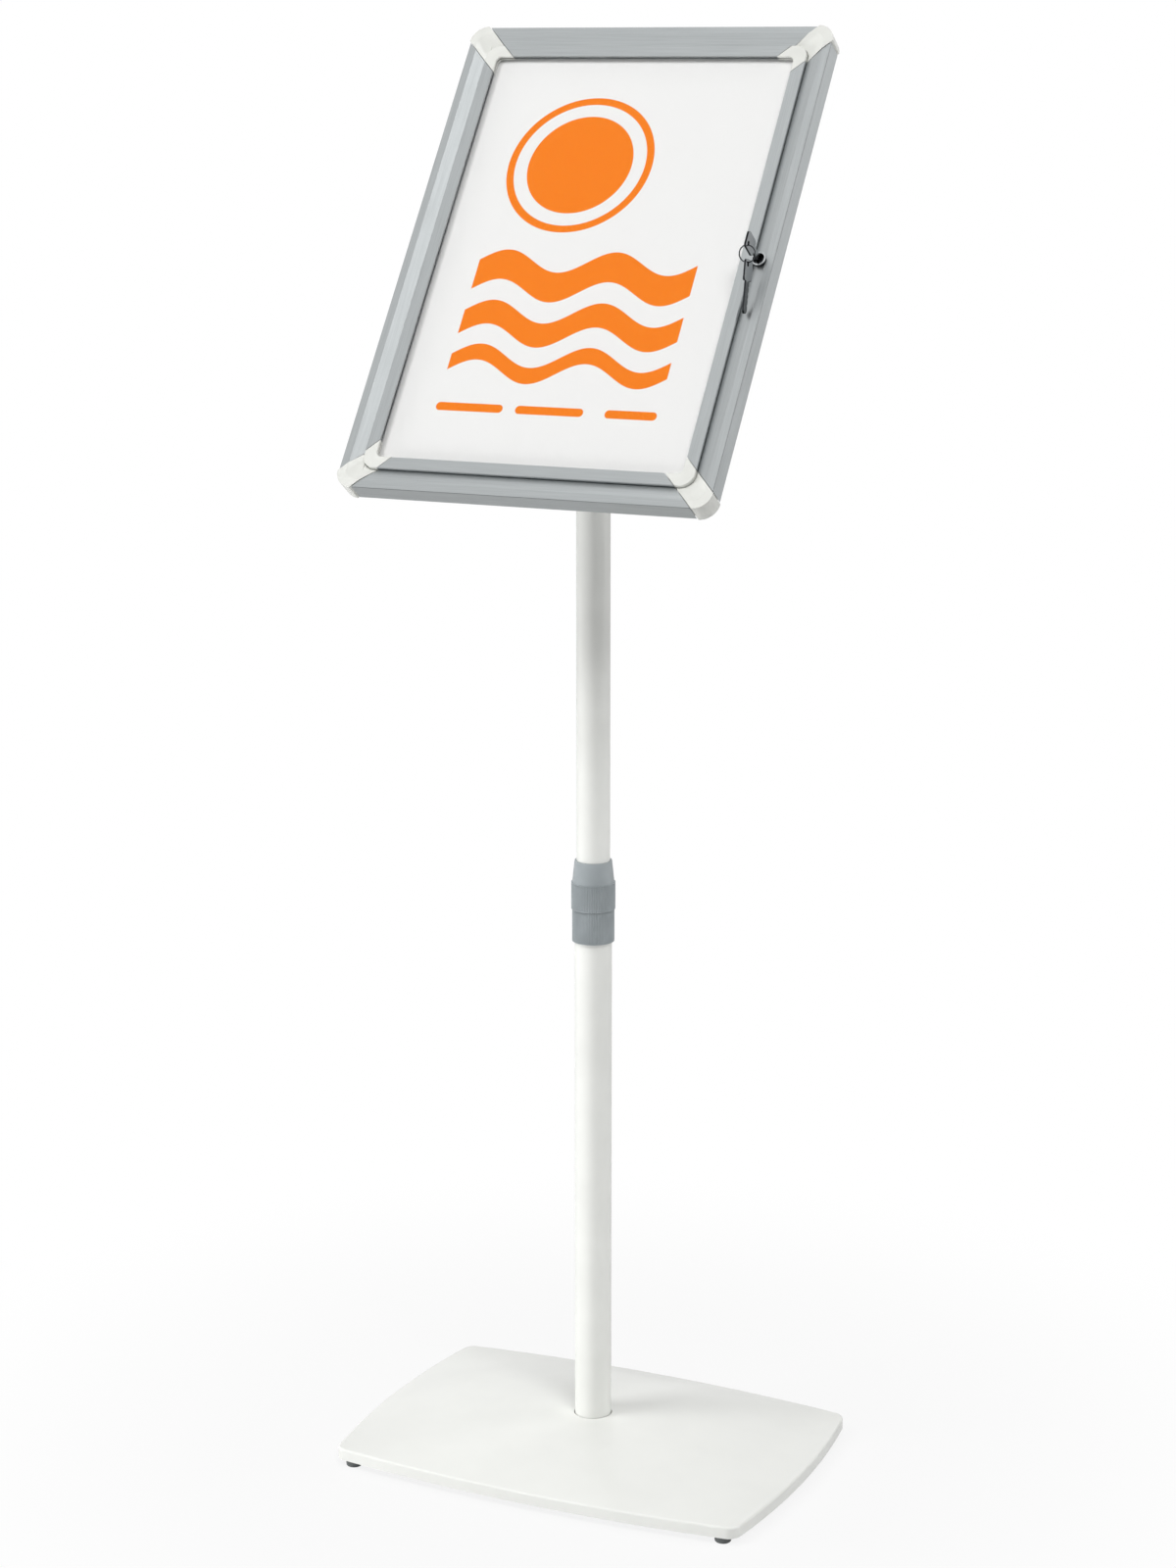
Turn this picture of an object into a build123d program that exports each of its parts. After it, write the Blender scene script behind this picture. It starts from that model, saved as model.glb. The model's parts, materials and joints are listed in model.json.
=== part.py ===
from build123d import *
from math import cos, pi, radians, sin
import os

# Lockable A3 display stand: a crowned base, a telescopic mast with a twist clamp, a head that tilts and
# swivels, and a flat poster case with a hinged, lockable door.
# Millimetres, +Z up. The mast's axis is X = Y = 0, the floor is Z = 0 and the case faces -Y.
# Case pieces are drawn in the case's own frame: X across, Y up the sheet, Z out of the door's face.

# Base
base_width = 424.0
base_depth = 298.0
side_bulge = 11.2
front_bulge = 13.5
base_corner_radius = 12.0
rim_height = 10.7
crown_height = 20.0
cover_wall = 2.5
rim_rounding = 2.0
cover_clearance = 0.2
tube_hole_clearance = 0.8
crown_steps = 9
crown_tolerance = 0.05

# Feet and base fasteners
foot_height = 7.0
foot_radius = 8.0
foot_taper = 0.7
foot_inset_x = 26.0
foot_inset_y = 22.0
foot_screw_head_radius = 3.3
foot_screw_head_height = 2.2
foot_screw_recess = 3.0
foot_screw_radius = 2.0
foot_screw_length = 9.0
screw_clearance = 0.3
base_bolt_radius = 5.0
base_bolt_head_radius = 8.0
base_bolt_head_height = 4.0
base_washer_radius = 12.0
base_washer_thick = 2.0
bolt_recess_radius = 13.0
bolt_recess_depth = 3.4
bolt_clearance = 0.25
base_bolt_bite = 17.0
foot_plug_height = 34.0
foot_plug_bore = 20.4

# Mast
lower_tube_radius = 17.0
upper_tube_radius = 15.2
tube_wall = 1.5
lower_tube_top = 521.0
upper_tube_bottom = 300.0
slide_clearance = 0.06
guide_bush_height = 40.0
guide_bush_lip = 3.0
guide_bush_wall = 2.0

# Twist clamp
sleeve_lap = 24.7
sleeve_height = 30.2
grip_height = 24.8
cone_height = 20.0
sleeve_radius = 19.2
grip_radius = 20.0
cone_base_radius = 19.1
cone_top_radius = 17.0
rib_count = 84
rib_depth = 0.6
spigot_radius = 18.0
spigot_height = 13.0
spigot_clearance = 0.06
body_gap = 0.3
collet_height = 18.0
collet_taper = 1.0
collet_slot = 1.6
collet_slot_depth = 12.6
collet_slot_count = 4
plain_band = 0.6

# Tilt head
tilt_from_vertical = 35.3
pivot_back = 17.5
eye_radius = 9.0
eye_thick = 14.0
head_flange_height = 2.5
head_plug_length = 36.0
pivot_above_flange = 11.5
head_screw_radius = 2.0
head_screw_drop = 18.0
head_screw_head_radius = 3.4
head_screw_top_radius = 2.4
head_screw_head_height = 1.6
tilt_bolt_radius = 4.0
tilt_bolt_head_radius = 6.5
tilt_bolt_head_height = 5.0
tilt_nut_flats = 13.0
tilt_nut_height = 6.5
washer_radius = 8.0
washer_thick = 1.6
bolt_overhang = 2.0
ear_thick = 3.0
bracket_radius = 38.0
bracket_thick = 3.0
swivel_washer_radius = 30.0
swivel_washer_thick = 1.5
swivel_gap = 0.1
swivel_bolt_radius = 4.0
swivel_head_radius = 9.0
swivel_head_height = 2.5
swivel_nut_flats = 13.0
swivel_nut_height = 6.5

# Case
case_centre_y = -16.5
case_centre_z = 1111.9
sheet_width = 297.0
sheet_height = 420.0
sheet_thick = 0.3
sheet_lap = 5.0
door_rail_width = 11.5
door_depth = 5.0
door_outer_radius = 12.0
door_inner_radius = 5.0
door_edge_rounding = 0.5
door_gap = 0.6
slope_width = 11.8
slope_drop = 3.4
rim_width = 7.1
frame_depth = 19.2
edge_groove_below = 0.6
edge_groove_width = 0.6
edge_groove_depth = 0.5
frame_corner_radius = 16.0
rim_inner_radius = 9.0
corner_proud = 1.0
corner_lift = 0.7
corner_reach = 15.6
joint_gap = 0.5
stop_width = 4.5
stop_gap = 0.9
rail_wall = 1.8
chamber_top = 8.2
chamber_width = 15.4
tenon_clearance = 0.15
tenon_length = 26.0
board_front = 6.9
board_thick = 3.0
board_grip = 3.2
board_clearance = 0.1
pane_front = 2.2
pane_thick = 1.5
pane_clearance = 0.1

# Back plate
plate_size = 92.0
plate_corner_radius = 10.0
plate_thick = 4.0
plate_screw_spacing = 72.0
plate_screw_radius = 1.6
plate_screw_head_radius = 3.4
plate_screw_head_height = 1.8
plate_screw_bite = 2.4

# Door hinge
hinge_inset = 1.2
hinge_depth = 2.6
hinge_pin_radius = 0.5
hinge_clearance = 0.05
hinge_pin_in_door = 9.0
hinge_pin_in_frame = 12.0

# Lock
lock_inset = 12.8
lock_face = 3.2
rosette_radius = 6.4
rosette_seat = 0.05
rosette_chamfer = 0.5
rosette_dish = 1.4
dish_radius = 5.2
barrel_radius = 5.3
barrel_back = 23.5
barrel_clearance = 0.05
plug_radius = 4.0
plug_clearance = 0.05
lock_nut_flats = 17.0
lock_nut_height = 3.5
cam_front = 13.8
cam_thick = 1.5
cam_width = 5.0
cam_reach = 10.1
cam_seat = 0.4
cam_window_margin = 0.5
cam_pocket_margin = 2.2
strike_thick = 1.5
strike_gap = 0.45
strike_width = 8.0
strike_foot = 4.2
strike_bite = 3.0

# Keys
key_thick = 2.0
key_blade_width = 6.2
key_blade_length = 27.0
key_inserted = 8.5
key_tip = 2.0
key_bow_width = 15.0
key_bow_length = 18.0
key_bow_rounding = 2.5
key_hole_radius = 2.2
key_hole_edge = 4.1
key_hole_offset = 3.0
key_slot_clearance = 0.08
key_notch = 1.5
key_notch_count = 4
ring_radius = 7.2
ring_wire_radius = 0.55
ring_seat_gap = 0.3
spare_lean = 23.4

# Sizes that follow from the values above
foot_x = base_width / 2 - foot_inset_x
foot_y = base_depth / 2 - foot_inset_y
plate_bottom = foot_height
rim_top = foot_height + rim_height
ballast_thick = rim_height - cover_wall - cover_clearance
ballast_top = plate_bottom + ballast_thick
crown_top = rim_top + crown_height
sleeve_bottom = lower_tube_top - sleeve_lap
sleeve_top = sleeve_bottom + sleeve_height
grip_top = sleeve_top + grip_height
cone_top = grip_top + cone_height
door_open_width = sheet_width - 2 * sheet_lap
door_open_height = sheet_height - 2 * sheet_lap
door_width = door_open_width + 2 * door_rail_width
door_height = door_open_height + 2 * door_rail_width
valley_width = door_width + 2 * door_gap
valley_height = door_height + 2 * door_gap
frame_width = valley_width + 2 * (slope_width + rim_width)
frame_height = valley_height + 2 * (slope_width + rim_width)
clear_width = valley_width - 2 * stop_width
clear_height = valley_height - 2 * stop_width
stop_level = -(door_depth + stop_gap)
board_back = -(board_front + board_thick)
plate_back = board_back - plate_thick
washer_back = plate_back - swivel_washer_thick
bracket_front = washer_back - swivel_gap
bracket_back = bracket_front - bracket_thick
pivot_level = -(frame_depth + pivot_back)
ear_outside = eye_thick / 2 + body_gap + ear_thick
hinge_x = -(door_width / 2 - hinge_inset)
lock_x = frame_width / 2 - lock_inset
cam_low = -(cam_front + cam_thick)
strike_top = cam_low - strike_gap
strike_low = strike_top - strike_thick
key_hole_place = key_bow_length - key_hole_edge
key_root = key_blade_length - key_inserted - rosette_dish
ring_slack = key_hole_radius - ring_wire_radius - ring_seat_gap

# The case's place on the mast, and the tilt pivot on the mast's axis behind it
tilt = radians(tilt_from_vertical)
pivot_drop = (case_centre_y - pivot_level * cos(tilt)) / sin(tilt)
case_plane = Plane(
    origin=(0, case_centre_y, case_centre_z), x_dir=(1, 0, 0), z_dir=(0, -cos(tilt), sin(tilt))
)
pivot = case_plane.from_local_coords((0, -pivot_drop, pivot_level))
head_flange_top = pivot.Z - pivot_above_flange
upper_tube_top = head_flange_top - head_flange_height


# Shared shapes
def pipe(outer, inner, low, high):
    """Upright tube between two heights."""
    return Pos(0, 0, low) * extrude(Circle(outer) - Circle(inner), amount=high - low)


def rod(radius, low, high):
    """Upright round bar between two heights."""
    return Pos(0, 0, low) * extrude(Circle(radius), amount=high - low)


def spin(points):
    """Solid of revolution about Z from an (r, z) outline."""
    outline = Plane.XZ * make_face(Polyline(*points, close=True))
    return revolve(outline, axis=Axis.Z)


def slab(outline, low, high):
    """Flat outline thickened between two levels."""
    return Pos(0, 0, low) * extrude(outline, amount=high - low)


def hexagon(flats, low, high):
    """Upright hexagonal bar, measured across its flats."""
    return slab(RegularPolygon(flats / 2, 6, major_radius=False), low, high)


def on_case(shape):
    """Place a shape from the case's frame into the stand's frame."""
    return case_plane.location * shape


def across(shape, x=0.0):
    """Turn an upright shape so that its axis runs along +X."""
    return Pos(x, 0, 0) * (Rot(0, 90, 0) * shape)


# Base
def base_outline(inset):
    """Rectangle with four gently bowed sides and rounded corners, moved inwards by an inset."""
    half_x = base_width / 2 - inset
    half_y = base_depth / 2 - inset
    corner_x = half_x - side_bulge
    corner_y = half_y - front_bulge
    sides = [
        ThreePointArc((-corner_x, -corner_y), (0, -half_y), (corner_x, -corner_y)),
        ThreePointArc((corner_x, -corner_y), (half_x, 0), (corner_x, corner_y)),
        ThreePointArc((corner_x, corner_y), (0, half_y), (-corner_x, corner_y)),
        ThreePointArc((-corner_x, corner_y), (-half_x, 0), (-corner_x, -corner_y)),
    ]
    outline = make_face(sides)
    return fillet(outline.vertices(), radius=base_corner_radius - inset)


def crown_level(x, y):
    """Height of the crown above the rim: full at the middle and nothing along the bowed sides."""
    corner_x = base_width / 2 - side_bulge
    corner_y = base_depth / 2 - front_bulge
    edge_x = base_width / 2 - side_bulge * (y / corner_y) ** 2
    edge_y = base_depth / 2 - front_bulge * (x / corner_x) ** 2
    return crown_height * (1 - (x / edge_x) ** 2) * (1 - (y / edge_y) ** 2)


def crowned_block(inset, drop):
    """Block with the base's outline whose top is the crowned surface, lowered by a drop."""
    span_x = base_width / 2 + cover_wall
    span_y = base_depth / 2 + cover_wall
    steps = [2 * k / (crown_steps - 1) - 1 for k in range(crown_steps)]
    grid = [
        [(span_x * s, span_y * t, rim_top - drop + crown_level(span_x * s, span_y * t)) for s in steps]
        for t in steps
    ]
    crown = Face.make_surface_from_array_of_points(grid, tol=crown_tolerance)
    below = extrude(crown, amount=2 * crown_top, dir=(0, 0, -1))
    return below & slab(base_outline(inset), plate_bottom, crown_top + rim_height)


def base_cover():
    """Pressed cover: crowned top, turned-down rim and the hole that the mast stands in."""
    shell = crowned_block(0, 0)
    rim_edges = [e for e in shell.edges() if abs(e.center().Z - rim_top) < rim_height / 3]
    shell = fillet(rim_edges, radius=rim_rounding)
    shell -= crowned_block(cover_wall, cover_wall)
    return shell - rod(lower_tube_radius + tube_hole_clearance, 0, 2 * crown_top)


def at_feet(shape):
    """The four places of a foot, one near each corner."""
    places = [Pos(sx * foot_x, sy * foot_y, 0) for sx in (-1, 1) for sy in (-1, 1)]
    return [place * shape for place in places]


def ballast_plate():
    """Steel plate that fills the cover's rim and carries the mast and the feet."""
    plate = slab(base_outline(cover_wall + cover_clearance), plate_bottom, ballast_top)
    plate -= rod(base_bolt_radius + bolt_clearance, 0, crown_top)
    plate -= rod(bolt_recess_radius, 0, plate_bottom + bolt_recess_depth)
    for hole in at_feet(rod(foot_screw_radius + bolt_clearance, 0, crown_top)):
        plate -= hole
    return plate


def rubber_feet():
    """Tapered rubber foot with a counterbore for its screw."""
    foot = spin(
        [
            (0, 0),
            (foot_radius - 2 * foot_taper, 0),
            (foot_radius - foot_taper, foot_taper),
            (foot_radius, foot_height),
            (0, foot_height),
        ]
    )
    foot -= rod(foot_screw_head_radius + screw_clearance, 0, foot_screw_recess + foot_screw_head_height)
    foot -= rod(foot_screw_radius + bolt_clearance, 0, foot_height)
    return Compound(at_feet(foot))


def foot_screws():
    """Pan-head screws that hold the feet to the ballast plate."""
    seat = foot_screw_recess + foot_screw_head_height
    screw = rod(foot_screw_head_radius, foot_screw_recess, seat)
    screw += rod(foot_screw_radius, seat, seat + foot_screw_length)
    return Compound(at_feet(screw))


def base_bolt():
    """Bolt from below that pulls the mast's plug onto the ballast plate."""
    seat = plate_bottom + bolt_recess_depth - base_washer_thick
    bolt = hexagon(2 * base_bolt_head_radius, seat - base_bolt_head_height, seat)
    return bolt + rod(base_bolt_radius, seat, ballast_top + base_bolt_bite)


def base_washer():
    """Wide washer in the recess of the ballast plate."""
    seat = plate_bottom + bolt_recess_depth
    return pipe(base_washer_radius, base_bolt_radius + bolt_clearance, seat - base_washer_thick, seat)


def tube_foot_plug():
    """Turned plug fixed in the foot of the lower tube, with the bolt's blind hole."""
    plug = rod(lower_tube_radius - tube_wall, ballast_top, ballast_top + foot_plug_height)
    return plug - rod(base_bolt_radius + bolt_clearance, 0, ballast_top + foot_plug_bore)


# Mast and twist clamp
def ribbed_outline(radius):
    """Round outline with fine upright ribs."""
    step = pi / rib_count
    points = [
        (
            (radius - rib_depth * (k % 2)) * cos(k * step),
            (radius - rib_depth * (k % 2)) * sin(k * step),
        )
        for k in range(2 * rib_count)
    ]
    return make_face(Polyline(*points, close=True))


def clamp_sleeve():
    """Fixed ribbed sleeve on the lower tube, with the spigot that carries the clamp ring."""
    sleeve = rod(sleeve_radius, sleeve_bottom, sleeve_bottom + plain_band)
    sleeve += slab(ribbed_outline(sleeve_radius), sleeve_bottom + plain_band, sleeve_top - body_gap)
    sleeve += rod(spigot_radius, sleeve_top - body_gap, sleeve_top + spigot_height)
    sleeve -= rod(lower_tube_radius, 0, lower_tube_top)
    return sleeve - rod(upper_tube_radius + body_gap, 0, cone_top)


def clamp_ring():
    """Twist ring: ribbed grip with plain bands, and a smooth cone above it."""
    grip = slab(ribbed_outline(grip_radius), sleeve_top + plain_band, grip_top - plain_band)
    grip += rod(grip_radius, sleeve_top, sleeve_top + plain_band)
    grip += rod(grip_radius, grip_top - plain_band, grip_top)
    grip += spin(
        [(0, grip_top), (cone_base_radius, grip_top), (cone_top_radius, cone_top), (0, cone_top)]
    )
    bore_top = sleeve_top + spigot_height + body_gap
    grip -= rod(spigot_radius + spigot_clearance, 0, bore_top)
    collet_radius = spigot_radius - collet_taper
    grip -= spin(
        [
            (0, bore_top),
            (spigot_radius + spigot_clearance, bore_top),
            (collet_radius + body_gap, bore_top + collet_height),
            (0, bore_top + collet_height),
        ]
    )
    return grip - rod(upper_tube_radius + body_gap, 0, cone_top)


def clamp_collet():
    """Split tapered collet that grips the upper tube."""
    low = sleeve_top + spigot_height
    collet_radius = spigot_radius - body_gap
    collet = spin(
        [
            (0, low),
            (collet_radius, low),
            (collet_radius - collet_taper, low + collet_height),
            (0, low + collet_height),
        ]
    )
    collet -= rod(upper_tube_radius + slide_clearance, 0, cone_top)
    slot = Pos(spigot_radius / 2, 0, low + collet_height) * Box(
        spigot_radius, collet_slot, 2 * collet_slot_depth
    )
    for k in range(collet_slot_count):
        collet -= Rot(0, 0, k * 360 / collet_slot_count) * slot
    return collet


def guide_bush():
    """Plastic bush on the foot of the upper tube that runs in the lower tube."""
    outside = lower_tube_radius - tube_wall - slide_clearance
    spigot = upper_tube_radius - tube_wall
    inside = spigot - guide_bush_wall
    low = upper_tube_bottom - guide_bush_lip
    lip = pipe(outside, inside, low, upper_tube_bottom)
    return lip + pipe(spigot, inside, upper_tube_bottom, low + guide_bush_height)


# Tilt head
def tube_head():
    """Cast head: plug in the upper tube, flange on its end, and the eye of the tilt pivot."""
    plug = rod(upper_tube_radius - tube_wall, upper_tube_top - head_plug_length, upper_tube_top)
    flange = rod(upper_tube_radius, upper_tube_top, head_flange_top)
    cheek = Pos(0, 0, (head_flange_top + pivot.Z) / 2) * Box(
        eye_thick, 2 * eye_radius, pivot.Z - head_flange_top
    )
    eye = across(rod(eye_radius, -eye_thick / 2, eye_thick / 2))
    bore = across(rod(tilt_bolt_radius + slide_clearance, -eye_thick, eye_thick))
    head = plug + flange + cheek + Pos(0, 0, pivot.Z) * eye - Pos(0, 0, pivot.Z) * bore
    return head - head_screw_bores(head_screw_radius)


def head_screw_bores(radius):
    """Cross bore through the tube and the plug of the head."""
    bore = across(rod(radius, -upper_tube_radius, upper_tube_radius))
    return Pos(0, 0, upper_tube_top - head_screw_drop) * bore


def upper_tube():
    """Sliding tube, cross-drilled for the head's screws."""
    inner = upper_tube_radius - tube_wall
    tube = pipe(upper_tube_radius, inner, upper_tube_bottom, upper_tube_top)
    return tube - head_screw_bores(head_screw_radius)


def head_screws():
    """Two low round-head screws that hold the head in the upper tube."""
    head = Pos(0, 0, upper_tube_radius) * spin(
        [
            (0, 0),
            (head_screw_head_radius, 0),
            (head_screw_top_radius, head_screw_head_height),
            (0, head_screw_head_height),
        ]
    )
    screw = across(head + rod(head_screw_radius, upper_tube_radius / 2, upper_tube_radius))
    place = Pos(0, 0, upper_tube_top - head_screw_drop)
    return Compound([place * screw, place * (Rot(0, 0, 180) * screw)])


def tilt_bracket():
    """Pressed bracket: round plate on the case's back with two ears that hold the tilt bolt."""
    plate = slab(Circle(bracket_radius), bracket_back, bracket_front)
    plate -= rod(swivel_bolt_radius + slide_clearance, bracket_back, bracket_front)
    ear_length = bracket_back - pivot_level
    side = Rectangle(2 * eye_radius, ear_length, align=(Align.CENTER, Align.MIN)) + Circle(eye_radius)
    side -= Circle(tilt_bolt_radius)
    ear_plane = Plane(origin=(0, -pivot_drop, pivot_level), x_dir=(0, 1, 0), z_dir=(1, 0, 0))
    ear = extrude(side, amount=ear_thick)
    offset = eye_thick / 2 + body_gap
    ears = [ear_plane.location * (Pos(0, 0, z) * ear) for z in (offset, -offset - ear_thick)]
    return on_case(plate + ears[0] + ears[1])


def at_pivot(shape):
    """Place a shape drawn along X about the tilt pivot."""
    return Pos(0, 0, pivot.Z) * shape


def tilt_bolt():
    """Cross bolt of the tilt pivot, with a round head."""
    start = -(ear_outside + washer_thick)
    bolt = rod(tilt_bolt_radius, start, ear_outside + washer_thick + tilt_nut_height + bolt_overhang)
    head = rod(tilt_bolt_head_radius, start - tilt_bolt_head_height, start)
    head -= hexagon(tilt_bolt_radius, start - tilt_bolt_head_height, start - tilt_bolt_head_height / 2)
    return at_pivot(across(bolt + head))


def tilt_nut():
    """Lock nut on the tilt bolt."""
    low = ear_outside + washer_thick
    high = low + tilt_nut_height
    nut = hexagon(tilt_nut_flats, low, high) - rod(tilt_bolt_radius, low, high)
    return at_pivot(across(nut))


def tilt_washers():
    """One washer outside each ear."""
    washer = pipe(washer_radius, tilt_bolt_radius, ear_outside, ear_outside + washer_thick)
    return Compound([at_pivot(across(washer)), at_pivot(Rot(0, 0, 180) * across(washer))])


def swivel_bolt():
    """Flat-headed bolt that carries the case on the bracket, its head sunk in the back plate."""
    bolt = rod(swivel_head_radius, board_back - swivel_head_height, board_back)
    end = bracket_back - washer_thick - swivel_nut_height - bolt_overhang
    return on_case(bolt + rod(swivel_bolt_radius, end, board_back))


def swivel_washer():
    """Friction washer between the back plate and the bracket."""
    return on_case(pipe(swivel_washer_radius, swivel_bolt_radius, washer_back, plate_back))


def swivel_nut():
    """Washer-faced lock nut behind the bracket."""
    top = bracket_back - swivel_gap
    nut = rod(washer_radius, top - washer_thick, top)
    nut += hexagon(swivel_nut_flats, top - washer_thick - swivel_nut_height, top - washer_thick)
    return on_case(nut - rod(swivel_bolt_radius, bracket_back - frame_depth, bracket_back))


# Case frame
def corner_strip(gap=0.0):
    """Diagonal band across the top right corner, inside which the corner pieces lie."""
    half = corner_reach / 2**0.5 - gap
    long = 4 * (rim_width + slope_width + door_rail_width)
    band = Rectangle(long, 2 * half, align=(Align.CENTER, Align.CENTER))
    return Pos(frame_width / 2, frame_height / 2) * (Rot(0, 0, 45) * band)


def four_strips(gap):
    """The diagonal bands of all four corners."""
    strip = corner_strip(gap)
    right = strip + mirror(strip, about=Plane.XZ)
    return right + mirror(right, about=Plane.YZ)


def frame_blank(proud, lift):
    """Closed frame with a flat rim, a slope down to the door, a door stop and a groove for the board."""
    outer = RectangleRounded(frame_width + 2 * proud, frame_height + 2 * proud, frame_corner_radius)
    blank = slab(outer - Rectangle(clear_width, clear_height), -frame_depth, lift)
    rim_inner = RectangleRounded(frame_width - 2 * rim_width, frame_height - 2 * rim_width, rim_inner_radius)
    valley = RectangleRounded(valley_width, valley_height, door_outer_radius + door_gap)
    funnel = loft([Pos(0, 0, -slope_drop) * valley, Pos(0, 0, lift) * rim_inner])
    blank -= funnel
    blank -= slab(valley, stop_level, -slope_drop)
    groove = Rectangle(
        clear_width + 2 * (board_grip + board_clearance), clear_height + 2 * (board_grip + board_clearance)
    )
    return blank - slab(groove, board_back - board_clearance, -board_front + board_clearance)


def chamber(clearance):
    """The hollow inside the frame's rails, or with a clearance the tenons that fill it."""
    outside = rail_wall + clearance
    inside = rail_wall + chamber_width - clearance
    elbow = frame_corner_radius - outside
    outer = RectangleRounded(frame_width - 2 * outside, frame_height - 2 * outside, elbow)
    inner = Rectangle(frame_width - 2 * inside, frame_height - 2 * inside)
    return slab(outer - inner, -frame_depth + rail_wall + clearance, -chamber_top - clearance)


def quarter(sign_x, sign_y, reach):
    """Plan of one corner's surroundings, out to a reach along both edges."""
    edge = 2 * reach
    return Pos(sign_x * frame_width / 2, sign_y * frame_height / 2) * Rectangle(edge, edge)


def side_region(name):
    """Plan that holds one side of the frame and of the door, between the corner bands."""
    depth = 2 * (rim_width + slope_width + door_rail_width)
    if name in ("left", "right"):
        sign = -1 if name == "left" else 1
        return Pos(sign * frame_width / 2, 0) * Rectangle(depth, frame_height)
    sign = -1 if name == "bottom" else 1
    return Pos(0, sign * frame_height / 2) * Rectangle(frame_width, depth)


def largest(shape):
    """The one long piece of a cut-up frame side."""
    return max(shape.solids(), key=lambda solid: solid.volume)


def side_pieces(blank):
    """Cut a closed frame into its four straight sides, with a fine gap at each corner band."""
    cut = blank - slab(four_strips(-joint_gap), -2 * frame_depth, frame_depth)
    names = ("left", "right", "top", "bottom")
    return {name: largest(cut & slab(side_region(name), -2 * frame_depth, frame_depth)) for name in names}


def corner_pieces(blank, extra=None):
    """Cut the four corner pieces out of a closed frame, and add what each one carries."""
    pieces = {}
    for vertical, sign_y in (("top", 1), ("bottom", -1)):
        for side, sign_x in (("left", -1), ("right", 1)):
            near = slab(quarter(sign_x, sign_y, 3 * corner_reach), -2 * frame_depth, frame_depth)
            piece = blank & slab(four_strips(0), -2 * frame_depth, frame_depth) & near
            if extra is not None:
                reach = rim_width + slope_width + tenon_length
                piece += extra & slab(quarter(sign_x, sign_y, reach), -2 * frame_depth, frame_depth)
            pieces[vertical + "_" + side] = piece
    return pieces


def hinge_pin(sign_y, radius):
    """Pin at one end of the door's left edge, from inside the door's corner into the frame's corner."""
    edge = door_height / 2
    corner_drop = door_outer_radius / 2
    low = edge - corner_drop - hinge_pin_in_door
    high = edge + hinge_pin_in_frame
    bar = Pos(0, 0, low) * Cylinder(radius, high - low, align=(Align.CENTER, Align.CENTER, Align.MIN))
    turned = Rot(-90 * sign_y, 0, 0) * bar
    return Pos(hinge_x, 0, -hinge_depth) * turned


def hinge_pins():
    """The door's two pivot pins."""
    return Compound([on_case(hinge_pin(sign, hinge_pin_radius)) for sign in (1, -1)])


def lock_upright(shape):
    """Place an upright shape on the lock's axis."""
    return Pos(lock_x, 0, 0) * shape


def lock_notch():
    """Room in the right rail and the board's edge for the cam's sweep and the strike."""
    inner = door_width / 2 - strike_foot - strike_thick - 2 * door_gap
    outer = lock_x - plug_radius
    low = -(cam_reach + cam_pocket_margin)
    high = strike_width / 2 + cam_pocket_margin
    plan = Pos((inner + outer) / 2, (low + high) / 2) * Rectangle(outer - inner, high - low)
    return slab(plan, -frame_depth + rail_wall, stop_level)


def edge_groove():
    """Fine groove round the frame's outer wall, just behind its front edge."""
    outside = Rectangle(frame_width + edge_groove_depth, frame_height + edge_groove_depth)
    inside = Rectangle(frame_width - 2 * edge_groove_depth, frame_height - 2 * edge_groove_depth)
    return slab(outside - inside, -edge_groove_below - edge_groove_width, -edge_groove_below)


def frame_parts():
    """The four rails and the four corners of the frame."""
    rails = side_pieces(frame_blank(0, 0) - chamber(0) - edge_groove())
    bore = lock_upright(rod(barrel_radius + barrel_clearance, -frame_depth, lock_face))
    rails["right"] = rails["right"] - bore - lock_notch()
    corners = corner_pieces(frame_blank(corner_proud, corner_lift), chamber(tenon_clearance))
    for name, sign in (("top_left", 1), ("bottom_left", -1)):
        corners[name] -= hinge_pin(sign, hinge_pin_radius)
    parts = {"frame_rail_" + name: on_case(piece) for name, piece in rails.items()}
    parts.update({"frame_corner_" + name: on_case(piece) for name, piece in corners.items()})
    return parts


def back_board():
    """Board in the frame's groove, notched where the lock works."""
    plan = Rectangle(clear_width + 2 * board_grip, clear_height + 2 * board_grip)
    board = slab(plan, board_back, -board_front) - lock_notch()
    for place in plate_screw_places():
        board -= place * rod(plate_screw_radius, board_back, board_back + plate_screw_bite)
    return on_case(board)


def sheet():
    """The A3 paper sheet, flat on the board."""
    return on_case(slab(Rectangle(sheet_width, sheet_height), -board_front, -board_front + sheet_thick))


def plate_screw_places():
    """Where the four screws of the back plate stand."""
    half = plate_screw_spacing / 2
    return [Pos(sx * half, sy * half, 0) for sx in (-1, 1) for sy in (-1, 1)]


def back_plate():
    """Steel plate on the board's back that the swivel bolt hangs in."""
    plate = slab(RectangleRounded(plate_size, plate_size, plate_corner_radius), plate_back, board_back)
    plate -= rod(swivel_head_radius, board_back - swivel_head_height, board_back)
    plate -= rod(swivel_bolt_radius, plate_back, board_back)
    for place in plate_screw_places():
        plate -= place * rod(plate_screw_radius, plate_back, board_back)
    return on_case(plate)


def plate_screws():
    """Pan-head screws through the back plate into the board."""
    screw = rod(plate_screw_radius, plate_back, board_back + plate_screw_bite)
    screw += rod(plate_screw_head_radius, plate_back - plate_screw_head_height, plate_back)
    return Compound([on_case(place * screw) for place in plate_screw_places()])


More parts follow.
